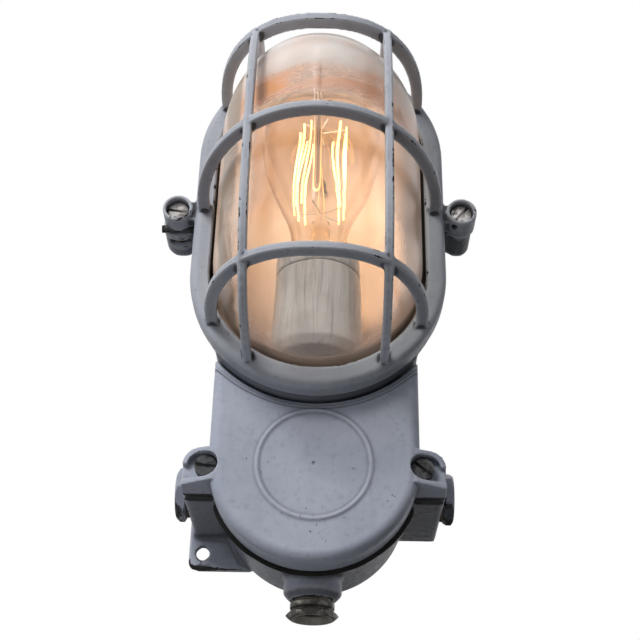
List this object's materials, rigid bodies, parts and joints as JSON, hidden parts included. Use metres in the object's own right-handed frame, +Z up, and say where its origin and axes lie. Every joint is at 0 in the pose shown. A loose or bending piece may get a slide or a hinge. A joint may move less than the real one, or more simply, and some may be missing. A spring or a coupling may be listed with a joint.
{
  "type": "wall light",
  "caption": "Caged bulkhead wall light: glass globe behind a cast guard, junction box below with screw-on cover, cable gland and plugged side entries.",
  "frame": {"origin": "middle of the two fixing holes, on the wall plane", "axes": "+Z up, the front looks along -Y, +X to the right seen from the front"},
  "size_m": [0.1523, 0.1655, 0.2762],
  "materials": {
    "grey_paint": "hand-brushed blue-grey paint on cast aluminium, chipped at the edges",
    "clear_glass": "thick pressed clear glass",
    "amber_glass": "thin amber-tinted bulb glass",
    "stem_glass": "clear drawn glass rod",
    "rubber": "black moulded rubber",
    "dark_steel": "dulled steel with traces of paint",
    "bright_steel": "zinc-plated steel",
    "rusty_steel": "rusted steel",
    "brass": "drawn brass",
    "gland_metal": "tarnished nickelled brass",
    "porcelain": "off-white glazed porcelain",
    "white_enamel": "pale stoved enamel on sheet steel",
    "fibre": "dark vulcanised fibre",
    "filament": "glowing filament wire",
    "lead_brown": "brown lead sleeve",
    "lead_blue": "blue lead sleeve"
  },
  "bodies": {
    "root": {"housing": "grey_paint", "guard_nut": "rusty_steel", "glass_globe": "clear_glass", "globe_gasket": "rubber", "box_gasket": "rubber", "gland_washer": "bright_steel", "gland_seal": "rubber", "blanking_plug_left": "grey_paint", "blanking_plug_right": "grey_paint", "plug_washer_left": "fibre", "plug_washer_right": "fibre", "reflector": "white_enamel", "holder_bracket": "bright_steel", "bracket_screws": "bright_steel", "lamp_holder": "porcelain", "holder_shell": "brass", "holder_contact": "brass", "holder_nipple": "brass", "holder_nut": "brass", "terminal_block": "porcelain", "terminal_barrels": "brass", "terminal_screws": "bright_steel", "terminal_fixing_screw": "bright_steel", "earth_screw": "brass", "earth_washer": "brass", "lead_live": "lead_brown", "lead_neutral": "lead_blue"},
    "guard_body": {"guard": "grey_paint", "screw_pin": "dark_steel"},
    "guard_screw_left_body": {"guard_screw_left": "dark_steel"},
    "guard_screw_right_body": {"guard_screw_right": "dark_steel"},
    "cover_body": {"box_cover": "grey_paint"},
    "cover_screw_left_body": {"cover_screw_left": "dark_steel"},
    "cover_screw_right_body": {"cover_screw_right": "dark_steel"},
    "gland_body": {"gland_nut": "gland_metal"},
    "bulb_body": {"bulb_glass": "amber_glass", "bulb_cap": "brass", "bulb_stem": "stem_glass", "bulb_supports": "bright_steel", "bulb_filament": "filament"}
  },
  "joints": [
    {"name": "guard_lift", "type": "slide", "parent": "root", "child": "guard_body", "axis": [0, -1, 0], "range_m": [0, 0.1]},
    {"name": "cover_lift", "type": "slide", "parent": "root", "child": "cover_body", "axis": [0, -1, 0], "range_m": [0, 0.05]},
    {"name": "gland_turn", "type": "hinge", "parent": "root", "child": "gland_body", "pos_m": [0, -0.029, -0.137], "axis": [0, 0, -1], "continuous": true},
    {"name": "bulb_turn", "type": "hinge", "parent": "root", "child": "bulb_body", "pos_m": [0, -0.0722, 0.02], "axis": [0, 0, 1], "continuous": true},
    {"name": "guard_screw_left_turn", "type": "hinge", "parent": "guard_body", "child": "guard_screw_left_body", "pos_m": [-0.0683, -0.08, 0.0435], "axis": [0, -1, 0], "continuous": true},
    {"name": "cover_screw_left_turn", "type": "hinge", "parent": "cover_body", "child": "cover_screw_left_body", "pos_m": [-0.0482, -0.06, -0.081], "axis": [0, -1, 0], "continuous": true},
    {"name": "guard_screw_right_turn", "type": "hinge", "parent": "guard_body", "child": "guard_screw_right_body", "pos_m": [0.0683, -0.08, 0.0435], "axis": [0, -1, 0], "continuous": true},
    {"name": "cover_screw_right_turn", "type": "hinge", "parent": "cover_body", "child": "cover_screw_right_body", "pos_m": [0.0482, -0.06, -0.081], "axis": [0, -1, 0], "continuous": true}
  ]
}
